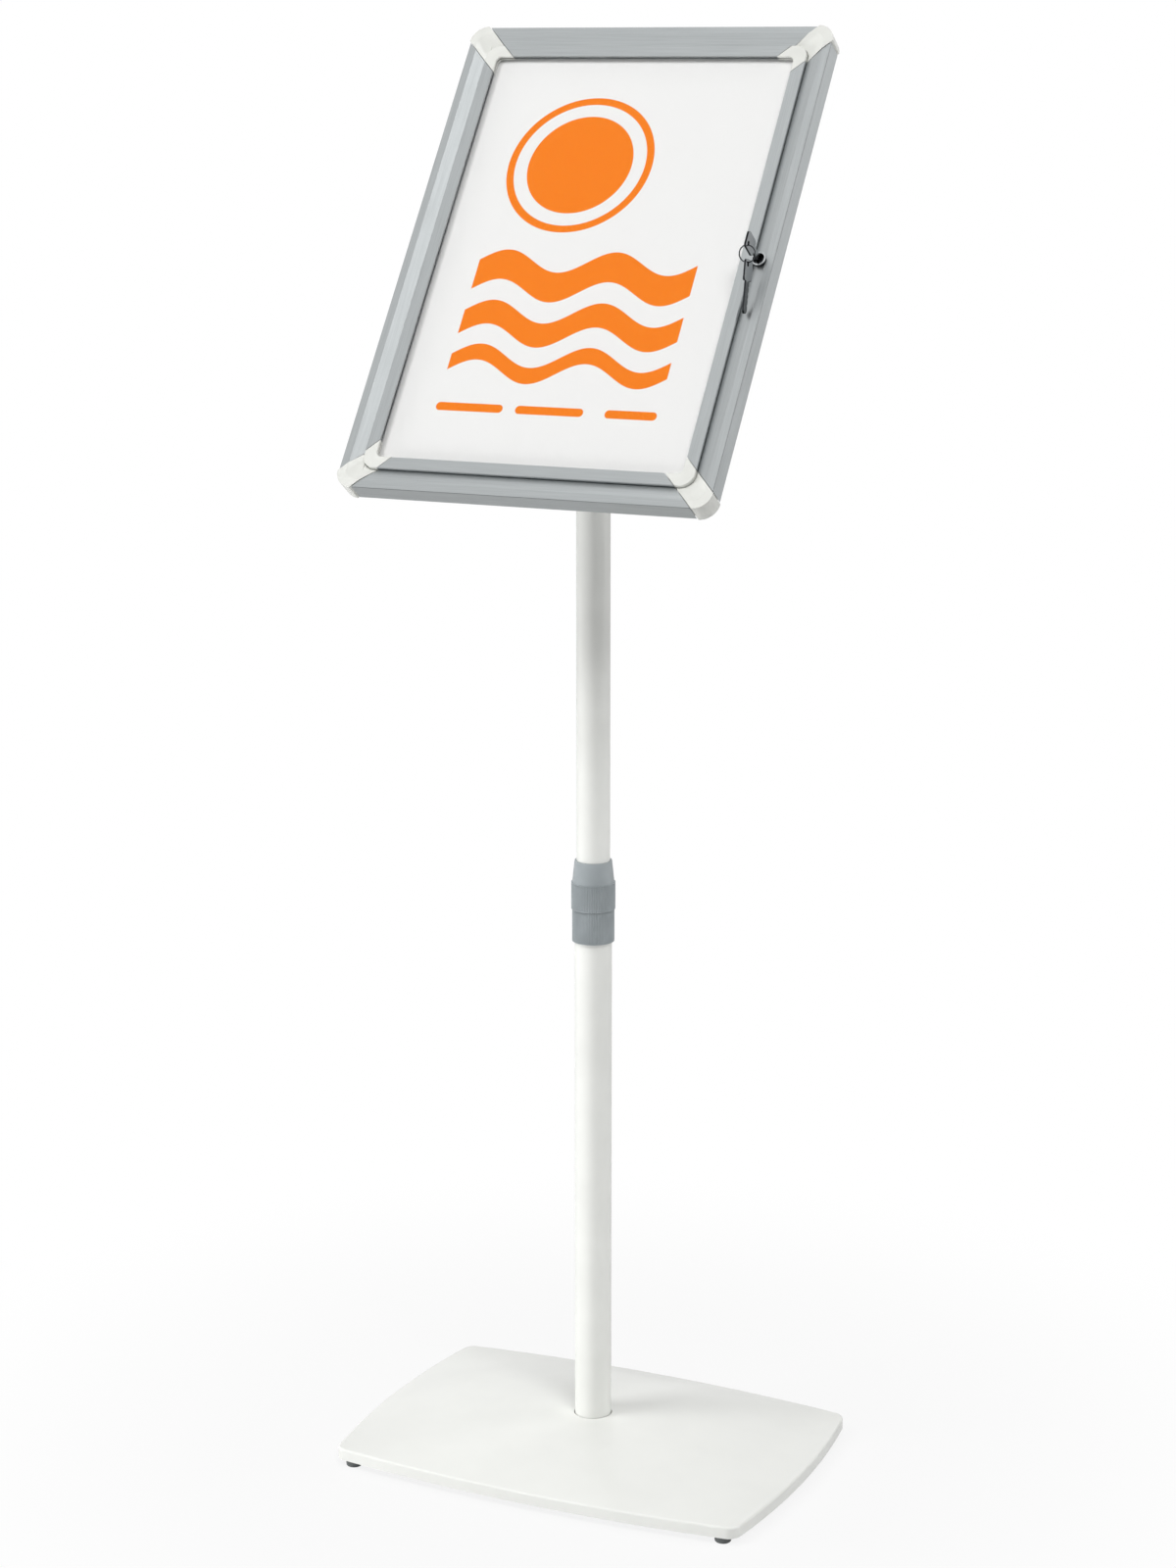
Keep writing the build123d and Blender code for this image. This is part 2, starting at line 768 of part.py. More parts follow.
# Door
def door_blank():
    """Closed door frame with softened front edges and a groove for the pane."""
    outer = RectangleRounded(door_width, door_height, door_outer_radius)
    inner = RectangleRounded(door_open_width, door_open_height, door_inner_radius)
    blank = slab(outer - inner, -door_depth, 0)
    blank = chamfer(blank.edges().group_by(Axis.Z)[-1], length=door_edge_rounding)
    groove = Rectangle(sheet_width + 2 * pane_clearance, sheet_height + 2 * pane_clearance)
    return blank - slab(groove, -pane_front - pane_thick - pane_clearance, -pane_front + pane_clearance)


def strike_slot():
    """Seat of the lock strike in the door's right rail."""
    inner = door_width / 2 - strike_foot
    plan = Pos(inner - strike_thick / 2, 0) * Rectangle(strike_thick, strike_width)
    return slab(plan, -door_depth, -door_depth + strike_bite)


def door_parts():
    """The four rails and the four corners of the door."""
    blank = door_blank()
    rails = side_pieces(blank)
    rails["right"] = rails["right"] - strike_slot()
    corners = corner_pieces(blank)
    for name, sign in (("top_left", 1), ("bottom_left", -1)):
        corners[name] -= hinge_pin(sign, hinge_pin_radius + hinge_clearance)
    parts = {"door_rail_" + name: on_case(piece) for name, piece in rails.items()}
    parts.update({"door_corner_" + name: on_case(piece) for name, piece in corners.items()})
    return parts


def door_pane():
    """Clear pane in the door's groove."""
    return on_case(slab(Rectangle(sheet_width, sheet_height), -pane_front - pane_thick, -pane_front))


def lock_strike():
    """Hook on the door's back that the cam swings in front of."""
    inner = door_width / 2 - strike_foot
    leg = Pos(inner - strike_thick / 2, 0) * Rectangle(strike_thick, strike_width)
    foot = Pos(inner - strike_thick, 0) * Rectangle(
        strike_foot + strike_thick - door_gap, strike_width, align=(Align.MIN, Align.CENTER)
    )
    hook = slab(leg, strike_low, -door_depth + strike_bite) + slab(foot, strike_low, strike_top)
    return on_case(hook)


# Lock and keys
def lock_body():
    """Barrel under a dished bright rosette, with a bore for the plug and a side window for the cam."""
    barrel = rod(barrel_radius, -barrel_back, lock_face)
    barrel += spin(
        [
            (0, rosette_seat),
            (rosette_radius, rosette_seat),
            (rosette_radius, lock_face - rosette_chamfer),
            (rosette_radius - rosette_chamfer, lock_face),
            (0, lock_face),
        ]
    )
    bore = plug_radius + plug_clearance
    barrel -= spin(
        [
            (0, -rosette_dish),
            (bore, -rosette_dish),
            (dish_radius, lock_face),
            (0, lock_face),
        ]
    )
    barrel -= rod(bore, -barrel_back + rail_wall, lock_face)
    edge = 2 * (barrel_radius + cam_width / 2 + cam_window_margin)
    window = Pos(-barrel_radius, -barrel_radius) * Rectangle(edge, edge)
    barrel -= slab(window, cam_low - cam_window_margin, -cam_front + cam_window_margin)
    return on_case(lock_upright(barrel))


def lock_nut():
    """Thin nut that clamps the barrel to the back of the rail."""
    nut = hexagon(lock_nut_flats, -frame_depth - lock_nut_height, -frame_depth)
    return on_case(lock_upright(nut - rod(barrel_radius, -2 * frame_depth, 0)))


def cam_bar(start, reach, margin):
    """Flat bar of the cam, pointing down the case from the lock's axis."""
    bar = Pos(0, -(start + reach) / 2) * Rectangle(cam_width + 2 * margin, reach - start)
    return slab(bar, cam_low - margin, -cam_front + margin)


def lock_plug():
    """Turning plug with the key's slot and the seat of the cam."""
    plug = rod(plug_radius, -barrel_back + 2 * rail_wall, -rosette_dish)
    slot = Rectangle(key_thick + 2 * key_slot_clearance, key_blade_width + 2 * key_slot_clearance)
    plug -= slab(slot, -rosette_dish - key_inserted - key_slot_clearance, -rosette_dish)
    plug -= cam_bar(plug_radius - cam_seat, cam_reach, 0)
    return on_case(lock_upright(plug))


def lock_cam():
    """Cam that hooks in front of the strike when the plug is turned a quarter."""
    return on_case(lock_upright(cam_bar(plug_radius - cam_seat, cam_reach, 0)))


def key_blank():
    """Flat key, its blade pointing down -Y from the bow at Y = 0, with cuts along one edge."""
    half = key_blade_width / 2
    blade = make_face(
        Polyline(
            (-half, 0),
            (half, 0),
            (half, key_tip - key_blade_length),
            (half - key_tip, -key_blade_length),
            (key_tip - half, -key_blade_length),
            (-half, key_tip - key_blade_length),
            close=True,
        )
    )
    bow = Pos(0, key_bow_length / 2) * RectangleRounded(key_bow_width, key_bow_length, key_bow_rounding)
    plan = blade + bow - Pos(-key_hole_offset, key_hole_place) * Circle(key_hole_radius)
    for k in range(key_notch_count):
        y = -(k + 1) * (key_blade_length - key_tip) / (key_notch_count + 1)
        plan -= Pos(half, y) * (Rot(0, 0, 45) * Rectangle(key_notch, key_notch))
    return extrude(plan, amount=key_thick / 2, both=True)


def lock_key():
    """The key in the lock, its bow standing up and down the case."""
    plane = Plane(origin=(lock_x, 0, key_root), x_dir=(0, 1, 0), z_dir=(1, 0, 0))
    return on_case(plane.location * key_blank())


def plumb(distance):
    """A step straight down, in the case's frame."""
    return Vector(0, -cos(tilt), -sin(tilt)) * distance


ring_hang = Vector(lock_x, -key_hole_offset, key_root + key_hole_place) + plumb(ring_slack)
spare_hang = ring_hang + plumb(2 * ring_radius)


def key_ring():
    """Round wire ring that hangs plumb from the key's bow."""
    centre = case_plane.from_local_coords(ring_hang + plumb(ring_radius))
    ring = Rot(90, 0, 0) * Torus(ring_radius, ring_wire_radius)
    return Pos(centre.X, centre.Y, centre.Z) * ring


def spare_key():
    """Second key on the ring, its tip just clear of the frame below."""
    lean = radians(spare_lean)
    along = Vector(0, cos(lean), sin(lean))
    sideways = Vector(0, sin(lean), -cos(lean))
    origin = spare_hang - along * (key_hole_place + ring_slack) + sideways * key_hole_offset
    plane = Plane(origin=origin, x_dir=sideways, z_dir=(1, 0, 0))
    return on_case(plane.location * key_blank())


def stand():
    """Every piece of the stand by name."""
    parts = {
        "base_cover": base_cover(),
        "ballast_plate": ballast_plate(),
        "rubber_feet": rubber_feet(),
        "foot_screws": foot_screws(),
        "base_bolt": base_bolt(),
        "base_washer": base_washer(),
        "tube_foot_plug": tube_foot_plug(),
        "lower_tube": pipe(lower_tube_radius, lower_tube_radius - tube_wall, ballast_top, lower_tube_top),
        "clamp_sleeve": clamp_sleeve(),
        "clamp_collet": clamp_collet(),
        "clamp_ring": clamp_ring(),
        "upper_tube": upper_tube(),
        "guide_bush": guide_bush(),
        "tube_head": tube_head(),
        "head_screws": head_screws(),
        "tilt_bracket": tilt_bracket(),
        "tilt_bolt": tilt_bolt(),
        "tilt_nut": tilt_nut(),
        "tilt_washers": tilt_washers(),
        "swivel_bolt": swivel_bolt(),
        "swivel_washer": swivel_washer(),
        "swivel_nut": swivel_nut(),
        "back_board": back_board(),
        "back_plate": back_plate(),
        "plate_screws": plate_screws(),
        "poster_sheet": sheet(),
        "hinge_pins": hinge_pins(),
        "door_pane": door_pane(),
        "lock_strike": lock_strike(),
        "lock_body": lock_body(),
        "lock_nut": lock_nut(),
        "lock_plug": lock_plug(),
        "lock_cam": lock_cam(),
        "lock_key": lock_key(),
        "key_ring": key_ring(),
        "spare_key": spare_key(),
    }
    parts.update(frame_parts())
    parts.update(door_parts())
    return parts


os.makedirs("parts", exist_ok=True)
for node, shape in stand().items():
    export_step(shape, "parts/" + node + ".step")
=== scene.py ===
import json
from math import atan2, pi, radians

import bpy
from mathutils import Euler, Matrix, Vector

# Lockable display stand: white powder-coated base and mast, grey twist clamp, anodised aluminium case with
# white moulded corners, clear pane, printed sheet, lock and keys. Metres, +Z up, the case faces -Y.

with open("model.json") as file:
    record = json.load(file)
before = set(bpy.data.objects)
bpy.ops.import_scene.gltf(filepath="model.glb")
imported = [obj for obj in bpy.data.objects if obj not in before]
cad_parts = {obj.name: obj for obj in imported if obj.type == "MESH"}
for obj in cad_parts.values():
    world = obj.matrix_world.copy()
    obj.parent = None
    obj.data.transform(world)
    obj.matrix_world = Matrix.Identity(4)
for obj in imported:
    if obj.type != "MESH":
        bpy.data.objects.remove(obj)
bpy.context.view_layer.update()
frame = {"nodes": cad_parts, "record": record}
nodes = frame["nodes"]
record = frame["record"]
scene = bpy.context.scene
scene.view_settings.view_transform = "Standard"

mm = 0.001

# The case leans back: its own axes are X across, Y up the sheet and Z out of the door's face.
joints = {joint["name"]: joint for joint in record["behaviour"]["joints"]}
case_centre = Vector(joints["panel_swivel"]["pos_m"])
case_front = Vector(joints["panel_swivel"]["axis"])
case_tilt = atan2(case_front.z, -case_front.y)
case_turn = Euler((case_tilt - pi / 2, 0, 0))

# The lock and its keys: where they stand, and the levels between which the painted shade on their metal
# turns to a painted highlight.
lock_middle = joints["lock_turn"]["pos_m"][0]
lock_lip = 3.2 * mm
lip_levels = (lock_lip - 1.1 * mm, lock_lip - 0.4 * mm)
key_half_thick = 1.0 * mm
key_flat_levels = (key_half_thick - 0.2 * mm, key_half_thick - 0.05 * mm)
spare_bow_drop = 15.5 * mm
spare_blade_top = joints["spare_swing"]["pos_m"][2] - spare_bow_drop
spare_bow_levels = (spare_blade_top - 0.5 * mm, spare_blade_top)

# Fine marks run along a bar or a key: they are this many times longer than wide.
die_line_length = 60
hairline_length = 9

# The printed sheet in millimetres, from the middle of the sheet: a sun in a ring, three waves, three dashes.
ink_edge = 0.25
sun_place = (-34, 96)
sun_radius = 50
sun_ring_radius = 66
sun_ring_half_width = 3.5
wave_height = 11
wave_length = 104
wave_reach = 104
wave_levels_and_half_widths = ((-18, 15), (-66, 12), (-106, 8))
dash_level = -150
dash_half_height = 4.0
dash_places_and_half_lengths = ((-72, 32), (4, 32), (80, 24))

# The studio in metres. Near the stand the floor gives up part of its white, so that it keeps a shadow, and
# metal sees only a share of the floor.
half_floor = 30.0
shadow_reach = (0.25, 0.8)
white_in_shadow = 0.86
floor_in_metal = 0.4
world_in_metal = 1.0
even_light = 0.17


# Material helpers
def hex_linear(text):
    """sRGB hex value as linear RGBA."""
    channels = [int(text[k:k + 2], 16) / 255 for k in (1, 3, 5)]
    linear = [c / 12.92 if c <= 0.04045 else ((c + 0.055) / 1.055) ** 2.4 for c in channels]
    return (*linear, 1.0)


def add(tree, kind, links=None, **settings):
    """Add one node: properties and socket values by name, links as {socket: (node, output)}."""
    node = tree.nodes.new(kind)
    for name, value in settings.items():
        if hasattr(node, name):
            setattr(node, name, value)
        else:
            node.inputs[name.replace("_", " ")].default_value = value
    for socket, (source, output) in (links or {}).items():
        tree.links.new(source.outputs[output], node.inputs[socket])
    return node


def new_material(name):
    """Empty node material, returned with its tree."""
    material = bpy.data.materials.new(name)
    material.use_nodes = True
    material.node_tree.nodes.clear()
    return material, material.node_tree


def mix_shaders(tree, share, first, second):
    """One shader node with a share of a second one over it."""
    return add(tree, "ShaderNodeMixShader", {0: share, 1: (first, 0), 2: (second, 0)})


def show(tree, shader):
    """Put a shader node on the material's surface."""
    add(tree, "ShaderNodeOutputMaterial", {"Surface": (shader, 0)})


def show_principled(tree, links, **constants):
    """Put a principled shader on the material's surface, with its links and its constants."""
    show(tree, add(tree, "ShaderNodeBsdfPrincipled", links, **constants))


def maths(tree, operation, *values):
    """Sum on numbers and on outputs given as (node, output)."""
    node = add(tree, "ShaderNodeMath", operation=operation)
    for socket, value in zip(node.inputs, values):
        if isinstance(value, tuple):
            source, output = value
            tree.links.new(source.outputs[output], socket)
        else:
            socket.default_value = value
    return node, "Value"


def place_in_stand(tree):
    """Object coordinates, which are the shared frame's own."""
    return add(tree, "ShaderNodeTexCoord"), "Object"


def place_in_case(tree):
    """Object coordinates turned and moved into the case's own axes."""
    mapping = add(tree, "ShaderNodeMapping", {"Vector": place_in_stand(tree)}, vector_type="POINT")
    mapping.inputs["Rotation"].default_value = case_turn
    mapping.inputs["Location"].default_value = -(case_turn.to_matrix() @ case_centre)
    return mapping, "Vector"


def split_axes(tree, place):
    """The three coordinates of a place, as a node with the outputs X, Y and Z."""
    return add(tree, "ShaderNodeSeparateXYZ", {"Vector": place})


def noise(tree, place, size_mm, stretch=(1, 1, 1), detail=3.0):
    """Noise whose cells are about size_mm across, stretched by a factor along each axis."""
    scale = 1 / (size_mm * mm)
    mapping = add(tree, "ShaderNodeMapping", {"Vector": place})
    mapping.inputs["Scale"].default_value = [scale / s for s in stretch]
    return add(tree, "ShaderNodeTexNoise", {"Vector": (mapping, "Vector")}, Scale=1.0, Detail=detail), "Fac"


def blend_colours(tree, factor, dark, light, low=0.35, high=0.65):
    """Ramp from one colour to another over a stretch of a factor."""
    ramp = add(tree, "ShaderNodeValToRGB", {"Fac": factor})
    first, last = ramp.color_ramp.elements
    first.position, first.color = low, hex_linear(dark)
    last.position, last.color = high, hex_linear(light)
    return ramp, "Color"


def span(tree, factor, low, high):
    """A factor spread between two values."""
    stretch = add(tree, "ShaderNodeMapRange", {"Value": factor})
    stretch.inputs["To Min"].default_value = low
    stretch.inputs["To Max"].default_value = high
    return stretch, "Result"


def above(tree, factor, low, high):
    """Nothing below a low value of a factor, one above a high value, and soft between them."""
    step = add(tree, "ShaderNodeMapRange", {"Value": factor}, interpolation_type="SMOOTHSTEP")
    step.inputs["From Min"].default_value = low
    step.inputs["From Max"].default_value = high
    return step, "Result"


def bump(tree, height, depth_mm, strength):
    """Bump from a height, its depth in millimetres."""
    node = add(tree, "ShaderNodeBump", {"Height": height}, Strength=strength, Distance=depth_mm * mm)
    return node, "Normal"


# Powder-coated steel: a thick baked skin, glossy, with the faint orange peel of melted powder.
def powder_coat(name, dark, light, roughness, peel_mm):
    material, tree = new_material(name)
    place = place_in_stand(tree)
    peel = noise(tree, place, peel_mm)
    cloud = noise(tree, place, size_mm=60.0, detail=2.0)
    show_principled(
        tree,
        {
            "Base Color": blend_colours(tree, cloud, dark, light),
            "Roughness": span(tree, peel, low=roughness - 0.04, high=roughness + 0.04),
            "Normal": bump(tree, peel, depth_mm=0.02, strength=0.25),
        },
        IOR=1.5,
    )
    return material


# Anodised extruded aluminium: satin grey, with fine die lines drawn along the length of the bar.
def anodised_bar(name, lengthwise):
    material, tree = new_material(name)
    place = place_in_case(tree)
    lines = noise(tree, place, size_mm=0.9, stretch=lengthwise, detail=4.0)
    cloud = noise(tree, place, size_mm=45.0, detail=2.0)
    show_principled(
        tree,
        {
            "Base Color": blend_colours(tree, lines, "#A9ADAE", "#B4B8B9", low=0.3, high=0.7),
            "Roughness": span(tree, cloud, low=0.38, high=0.46),
            "Normal": bump(tree, lines, depth_mm=0.02, strength=0.18),
        },
        Metallic=1.0,
    )
    return material


# Moulded plastic and rubber: smooth, with a soft sheen and the slight grain of a steel mould.
def moulded_plastic(name, dark, light, roughness, grain_mm, grain, ior):
    material, tree = new_material(name)
    place = place_in_stand(tree)
    pits = noise(tree, place, grain_mm, detail=2.0)
    cloud = noise(tree, place, size_mm=25.0, detail=2.0)
    show_principled(
        tree,
        {
            "Base Color": blend_colours(tree, cloud, dark, light),
            "Roughness": span(tree, pits, low=roughness - 0.05, high=roughness + 0.07),
            "Normal": bump(tree, pits, depth_mm=0.03, strength=grain),
        },
        IOR=ior,
    )
    return material


# Plated steel: zinc is cloudy and blue-grey; the nickel wire is smooth and painted dark as a painted dark
# reflection; both have hairline handling marks.
def plated_metal(name, dark, light, smooth, rough, cloud_mm, marks_mm):
    material, tree = new_material(name)
    place = place_in_stand(tree)
    cloud = noise(tree, place, cloud_mm)
    marks = noise(tree, place, marks_mm, stretch=(hairline_length, 1, 1), detail=4.0)
    show_principled(
        tree,
        {
            "Base Color": blend_colours(tree, cloud, dark, light),
            "Roughness": span(tree, marks, low=smooth, high=rough),
            "Normal": bump(tree, marks, depth_mm=0.01, strength=0.1),
        },
        Metallic=1.0,
    )
    return material


# Nickel-plated keys: a painted highlight on the flats, painted shade on the edges between them and on the
# spare's blade, standing in for the dark reflections they show.
def key_nickel():
    material, tree = new_material("nickel_plated_key_brass")
    place = place_in_stand(tree)
    axes = split_axes(tree, place)
    off_middle = maths(tree, "ABSOLUTE", maths(tree, "SUBTRACT", (axes, "X"), lock_middle))
    # Painted light: the outer flats are painted bright, the edges between them dark, and the spare's blade
    # below its bow darker still.
    flat = above(tree, off_middle, *key_flat_levels)
    bow = above(tree, (axes, "Z"), *spare_bow_levels)
    painted_highlight = maths(tree, "MULTIPLY", flat, span(tree, bow, low=0.3, high=1.0))
    marks = noise(tree, place, size_mm=0.5, stretch=(1, hairline_length, 1), detail=4.0)
    painted_light = maths(tree, "MULTIPLY", painted_highlight, span(tree, marks, low=0.8, high=1.1))
    # The ramp runs from painted dark reflection to painted highlight on one nickel finish.
    show_principled(
        tree,
        {
            "Base Color": blend_colours(tree, painted_light, "#242628", "#9DA0A2", low=0.0, high=1.0),
            "Roughness": span(tree, marks, low=0.16, high=0.3),
            "Normal": bump(tree, marks, depth_mm=0.01, strength=0.1),
        },
        Metallic=1.0,
    )
    return material


# Chromed zinc: a painted highlight on the lip round the lock, and painted shade on the dish and the
# rosette's wall below it, where they turn from the light.
def lock_chrome():
    material, tree = new_material("chromed_lock_zinc")
    place = place_in_case(tree)
    painted_lip_highlight = above(tree, (split_axes(tree, place), "Z"), *lip_levels)
    cloud = noise(tree, place, size_mm=2.0)
    # Painted light: all of the chrome above the lip levels is painted bright and all below them is painted
    # dark.
    painted_light = maths(tree, "MULTIPLY", painted_lip_highlight, span(tree, cloud, low=0.8, high=1.1))
    show_principled(
        tree,
        {
            "Base Color": blend_colours(tree, painted_light, "#2E3032", "#C6C9CB", low=0.0, high=1.0),
            "Roughness": span(tree, cloud, low=0.08, high=0.18),
        },
        Metallic=1.0,
    )
    return material


# Clear polycarbonate with a low-glare coat: light passes straight through, and only a weak gloss stays.
def clear_pane():
    material, tree = new_material("clear_polycarbonate")
    haze = noise(tree, place_in_case(tree), size_mm=70.0, detail=2.0)
    gloss = add(
        tree,
        "ShaderNodeBsdfPrincipled",
        {"Roughness": span(tree, haze, low=0.05, high=0.12)},
        Base_Color=hex_linear("#FFFFFF"),
        Metallic=1.0,
    )
    through = add(tree, "ShaderNodeBsdfTransparent", Color=hex_linear("#FEFEFE"))
    grazing = add(tree, "ShaderNodeFresnel", IOR=1.12)
    inward = add(tree, "ShaderNodeNewGeometry")
    outward = maths(tree, "SUBTRACT", 1.0, (inward, "Backfacing"))
    share = maths(tree, "MULTIPLY", (grazing, "Fac"), outward)
    show(tree, mix_shaders(tree, share, through, gloss))
    return material


# Coated A3 poster paper: cool white stock printed in one flat orange, with a little tooth.
def printed_paper():
    material, tree = new_material("printed_poster_paper")
    place = place_in_case(tree)
    axes = split_axes(tree, place)
    across, up = (axes, "X"), (axes, "Y")

    def past(value, level):
        """How far a value goes past a level in millimetres, with its sign."""
        return maths(tree, "SUBTRACT", value, level * mm)

    def past_both_ways(value, reach):
        """How far a value goes past a reach in millimetres to either side, with its sign."""
        return past(maths(tree, "ABSOLUTE", value), reach)

    def slant(right, rise):
        """Length of the line across two distances at right angles."""
        squares = maths(tree, "MULTIPLY_ADD", rise, rise, maths(tree, "MULTIPLY", right, right))
        return maths(tree, "SQRT", squares)

    def disc(radius):
        """Signed distance from a circle about the sun's middle."""
        sun_x, sun_y = sun_place
        return past(slant(past(across, sun_x), past(up, sun_y)), radius)

    def wave(level, half_width):
        """Signed distance from a band along a sine line, cut off straight at both sides."""
        angle = maths(tree, "MULTIPLY", across, 2 * pi / (wave_length * mm))
        line = maths(tree, "MULTIPLY_ADD", maths(tree, "SINE", angle), wave_height * mm, level * mm)
        band = past_both_ways(maths(tree, "SUBTRACT", up, line), half_width)
        return maths(tree, "MAXIMUM", band, past_both_ways(across, wave_reach))

    def dash(middle, half_length):
        """Signed distance from a bar with round ends."""
        right = past_both_ways(past(across, middle), half_length - dash_half_height)
        rise = maths(tree, "ABSOLUTE", past(up, dash_level))
        return past(slant(maths(tree, "MAXIMUM", right, 0.0), rise), dash_half_height)

    shapes = [disc(sun_radius), past_both_ways(disc(sun_ring_radius), sun_ring_half_width)]
    shapes += [wave(*numbers) for numbers in wave_levels_and_half_widths]
    shapes += [dash(*numbers) for numbers in dash_places_and_half_lengths]
    nearest = shapes[0]
    for shape in shapes[1:]:
        nearest = maths(tree, "MINIMUM", nearest, shape)
    ink = maths(tree, "SUBTRACT", 1.0, above(tree, nearest, -ink_edge * mm, ink_edge * mm))

    fibre = noise(tree, place, size_mm=0.8, detail=4.0)
    stock = blend_colours(tree, fibre, "#EAEAE9", "#F0F0EF")
    print_tone = blend_colours(tree, noise(tree, place, size_mm=2.5), "#EF7A15", "#F2811D")
    bare, inked, mixed = 6, 7, 2  # the mix node numbers its colour sockets after those for plain values
    colour = add(tree, "ShaderNodeMix", {"Factor": ink, bare: stock, inked: print_tone}, data_type="RGBA")
    show_principled(
        tree,
        {
            "Base Color": (colour, mixed),
            "Roughness": span(tree, ink, low=0.6, high=0.45),
            "Normal": bump(tree, fibre, depth_mm=0.01, strength=0.15),
        },
        IOR=1.3,
    )
    return material


rail_upright = anodised_bar("anodised_aluminium_upright", lengthwise=(1, die_line_length, 1))
rail_across = anodised_bar("anodised_aluminium_across", lengthwise=(die_line_length, 1, 1))
# The ring's nickel wire gets a dark colour, a painted dark reflection in place of the bright metal's own
# tone.
ring_wire_painted_dark = plated_metal(
    "nickel_plated_spring_wire", "#303335", "#4A4D4F", smooth=0.12, rough=0.24, cloud_mm=3.0, marks_mm=0.5
)
finishes = {
    "white_base": powder_coat("powder_coated_steel_base", "#EDEEEA", "#F0F1ED", roughness=0.16, peel_mm=2.0),
    "white_tube": powder_coat("powder_coated_steel_tube", "#EEEFEB", "#F4F5F1", roughness=0.24, peel_mm=1.6),
    "cast_head": powder_coat("powder_coated_cast_head", "#DADBD8", "#E2E3DF", roughness=0.35, peel_mm=1.2),
    "steel": plated_metal(
        "zinc_plated_steel", "#A9AFB3", "#C6CBCE", smooth=0.28, rough=0.42, cloud_mm=3.0, marks_mm=0.8
    ),
    "foot_rubber": moulded_plastic(
        "moulded_rubber_grey", "#626666", "#727676", roughness=0.6, grain_mm=0.6, grain=0.5, ior=1.52
    ),
    "grey_collar": moulded_plastic(
        "moulded_nylon_grey", "#989FA2", "#A4ABAE", roughness=0.5, grain_mm=0.5, grain=0.25, ior=1.53
    ),
    "black_plastic": moulded_plastic(
        "moulded_acetal_black", "#161717", "#202222", roughness=0.45, grain_mm=0.8, grain=0.2, ior=1.53
    ),
    "white_corner": moulded_plastic(
        "moulded_abs_white", "#D9DAD5", "#E0E1DC", roughness=0.17, grain_mm=0.7, grain=0.05, ior=1.53
    ),
    "board": moulded_plastic(
        "extruded_polystyrene_board", "#CCCECE", "#D0D2D2", roughness=0.6, grain_mm=1.5, grain=0.3, ior=1.59
    ),
    "clear_pane": clear_pane(),
    "paper": printed_paper(),
    "lock_chrome": lock_chrome(),
    "key_steel": key_nickel(),
}
slot_of = {entry["node"]: entry["material_slot"] for entry in record["subparts"]}
for name, node in nodes.items():
    if slot_of[name] == "aluminium_rail":
        finish = rail_upright if name.endswith(("left", "right")) else rail_across
    elif name == "key_ring":
        finish = ring_wire_painted_dark
    else:
        finish = finishes[slot_of[name]]
    node.data.materials.clear()
    node.data.materials.append(finish)


# The studio
def seen_background(tree, in_metal):
    """One where the background is looked at, straight or through clear plastic; in metal, a share of it."""
    rays = add(tree, "ShaderNodeLightPath")
    glossy = maths(tree, "MULTIPLY", (rays, "Is Glossy Ray"), in_metal)
    seen = maths(tree, "MAXIMUM", (rays, "Is Camera Ray"), glossy)
    return maths(tree, "MAXIMUM", seen, (rays, "Is Transmission Ray"))


# Floor: a plain pale sheet that shows white, and keeps part of the stand's shadow.
floor_mesh = bpy.data.meshes.new("floor")
floor_corners = [(x * half_floor, y * half_floor, 0) for x, y in ((-1, -1), (1, -1), (1, 1), (-1, 1))]
floor_mesh.from_pydata(floor_corners, [], [(0, 1, 2, 3)])
floor = bpy.data.objects.new("floor", floor_mesh)
scene.collection.objects.link(floor)
floor_paint, tree = new_material("white_studio_floor")
from_mast = add(tree, "ShaderNodeVectorMath", {0: place_in_stand(tree)}, operation="LENGTH")
clear = span(tree, above(tree, (from_mast, "Value"), *shadow_reach), low=white_in_shadow, high=1.0)
share = maths(tree, "MULTIPLY", seen_background(tree, floor_in_metal), clear)
matt = add(tree, "ShaderNodeBsdfDiffuse", Color=hex_linear("#DEDEDE"))
glow = add(tree, "ShaderNodeEmission", Color=hex_linear("#FFFFFF"), Strength=1.0)
show(tree, mix_shaders(tree, share, matt, glow))
floor_mesh.materials.append(floor_paint)

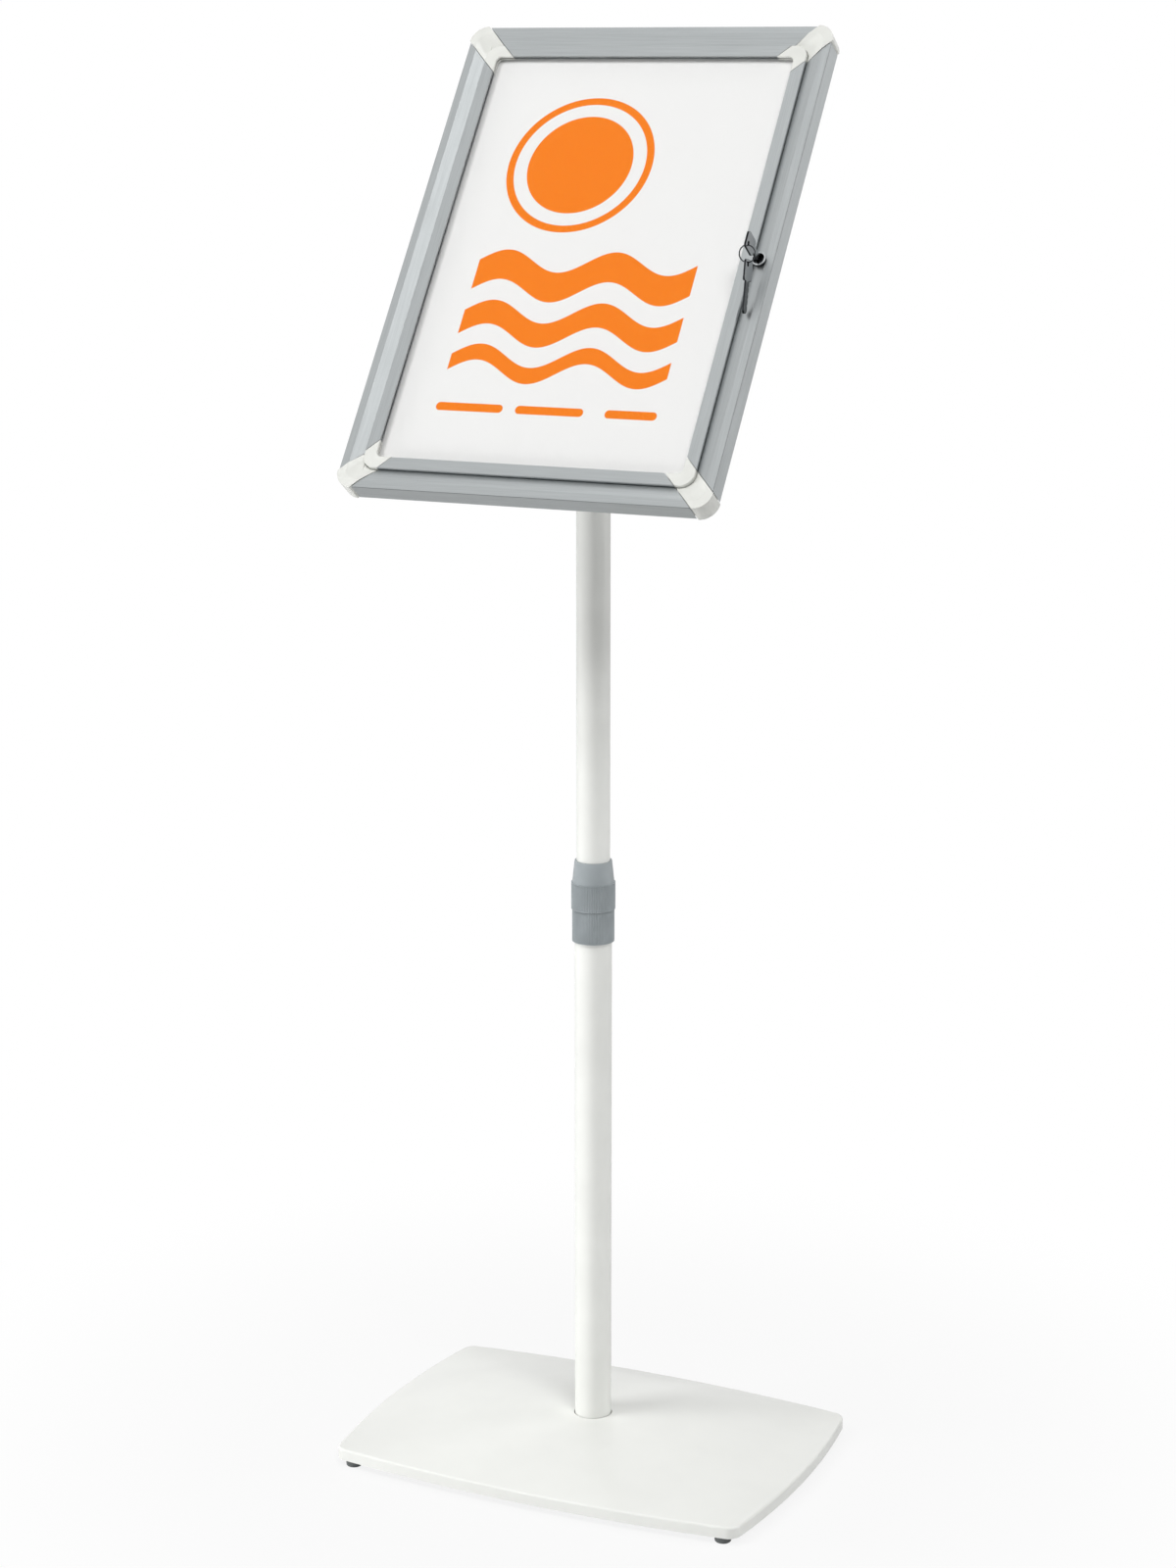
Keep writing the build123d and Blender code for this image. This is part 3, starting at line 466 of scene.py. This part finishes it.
# World: white where it is seen, a soft even light elsewhere.
world = bpy.data.worlds.new("white_studio")
scene.world = world
world.use_nodes = True
tree = world.node_tree
tree.nodes.clear()
even = add(tree, "ShaderNodeBackground", Color=hex_linear("#FFFFFF"), Strength=even_light)
white = add(tree, "ShaderNodeBackground", Color=hex_linear("#FFFFFF"), Strength=1.0)
sky = mix_shaders(tree, seen_background(tree, world_in_metal), even, white)
add(tree, "ShaderNodeOutputWorld", {"Surface": (sky, 0)})


def soft_box(name, place, target, size, power, mirrored=True):
    """Rectangular area lamp aimed at a point; one that isn't mirrored leaves no bright patch in metal."""
    lamp = bpy.data.lights.new(name, "AREA")
    lamp.shape = "RECTANGLE"
    lamp.size, lamp.size_y = size
    lamp.energy = power
    holder = bpy.data.objects.new(name, lamp)
    scene.collection.objects.link(holder)
    holder.location = place
    aim = Vector(target) - Vector(place)
    holder.rotation_euler = aim.to_track_quat("-Z", "Y").to_euler()
    holder.visible_glossy = mirrored


# Two high keys and a low fill light the stand; the rest are seen in the case's metal and the white coats.
soft_box("key_high_left", (-3.7, -4.0, 6.9), (0, 0, 0.7), size=(3.0, 3.0), power=250, mirrored=False)
soft_box("key_high_right", (3.7, -4.0, 6.9), (0, 0, 0.7), size=(3.0, 3.0), power=262, mirrored=False)
soft_box("fill_low_left", (-2.2, -1.2, 0.25), (0, 0, 0.15), size=(1.0, 0.5), power=26, mirrored=False)
soft_box("overhead", (0.35, -2.3, 5.6), (-0.1, 0, 1.1), size=(0.9, 1.7), power=18)
soft_box("top_back", (-0.6, 1.6, 5.0), (0, 0, 0.6), size=(2.0, 2.0), power=30)
soft_box("side_back_right", (3.5, 1.8, 1.2), (0, 0, 0.9), size=(1.5, 1.5), power=32)
soft_box("front_left", (-1.4, -2.8, 1.75), (0, -0.15, 0.95), size=(0.8, 0.8), power=6)

# Camera, at the photograph's viewing angle
lens = bpy.data.cameras.new("camera")
lens.lens = 73.97
lens.sensor_width = 36.0
camera = bpy.data.objects.new("camera", lens)
camera.location = (1.195865, -2.558544, 1.277524)
camera.rotation_euler = (radians(77.309), 0, radians(25.149))
scene.collection.objects.link(camera)
scene.camera = camera
